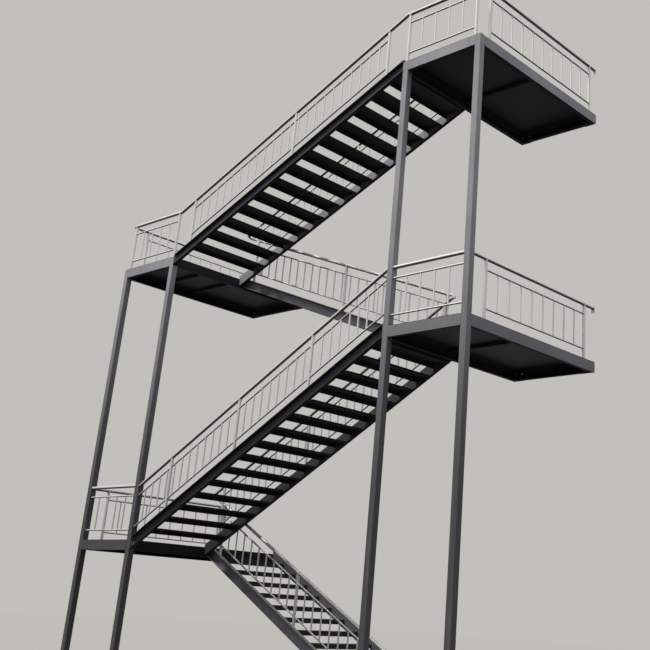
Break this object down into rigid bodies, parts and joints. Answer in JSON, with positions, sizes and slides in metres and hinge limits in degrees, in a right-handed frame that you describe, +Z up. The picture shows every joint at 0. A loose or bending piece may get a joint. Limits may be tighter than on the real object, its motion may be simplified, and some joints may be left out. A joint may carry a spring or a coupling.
{
  "type": "fire escape stair",
  "caption": "External steel stair with straight flights that zigzag between two towers of landings on square posts, with stainless tube railings.",
  "frame": {"origin": "middle of the underside of the base plate of the outer left post, on the ground", "axes": "+X along the wall from the left tower to the right one, +Y towards the wall, +Z up"},
  "size_m": [8.15, 3.075, 10.325],
  "materials": {
    "post_paint": "worn satin blue-grey paint",
    "beam_paint": "worn satin blue-grey paint",
    "plate_paint": "worn grey paint with rust at the edges",
    "deck_paint": "matt dark grey paint, scuffed bare on top",
    "tread_paint": "matt dark grey paint, scuffed bare at the nosings",
    "stainless_rails": "brushed stainless tube with light stains"
  },
  "bodies": {
    "root": {"flight_1_foot_plates": "plate_paint", "flight_1_front_railing": "stainless_rails", "flight_1_front_stringer": "beam_paint", "flight_1_rear_stringer": "beam_paint", "flight_1_treads": "tread_paint", "flight_2_front_railing": "stainless_rails", "flight_2_front_stringer": "beam_paint", "flight_2_rear_railing": "stainless_rails", "flight_2_rear_stringer": "beam_paint", "flight_2_treads": "tread_paint", "flight_3_front_railing": "stainless_rails", "flight_3_front_stringer": "beam_paint", "flight_3_rear_stringer": "beam_paint", "flight_3_treads": "tread_paint", "flight_4_front_railing": "stainless_rails", "flight_4_front_stringer": "beam_paint", "flight_4_rear_railing": "stainless_rails", "flight_4_rear_stringer": "beam_paint", "flight_4_treads": "tread_paint", "landing_1_deck": "deck_paint", "landing_1_frame": "beam_paint", "landing_1_front_railing": "stainless_rails", "landing_1_side_railing": "stainless_rails", "landing_1_wall_plates": "plate_paint", "landing_2_deck": "deck_paint", "landing_2_frame": "beam_paint", "landing_2_front_railing": "stainless_rails", "landing_2_side_railing": "stainless_rails", "landing_2_wall_plates": "plate_paint", "landing_3_deck": "deck_paint", "landing_3_frame": "beam_paint", "landing_3_front_railing": "stainless_rails", "landing_3_side_railing": "stainless_rails", "landing_3_wall_plates": "plate_paint", "landing_4_deck": "deck_paint", "landing_4_frame": "beam_paint", "landing_4_front_railing": "stainless_rails", "landing_4_guard_railing": "stainless_rails", "landing_4_side_railing": "stainless_rails", "landing_4_wall_plates": "plate_paint", "post_base_plates": "plate_paint", "post_left_inner": "post_paint", "post_left_outer": "post_paint", "post_right_inner": "post_paint", "post_right_outer": "post_paint"}
  },
  "joints": []
}
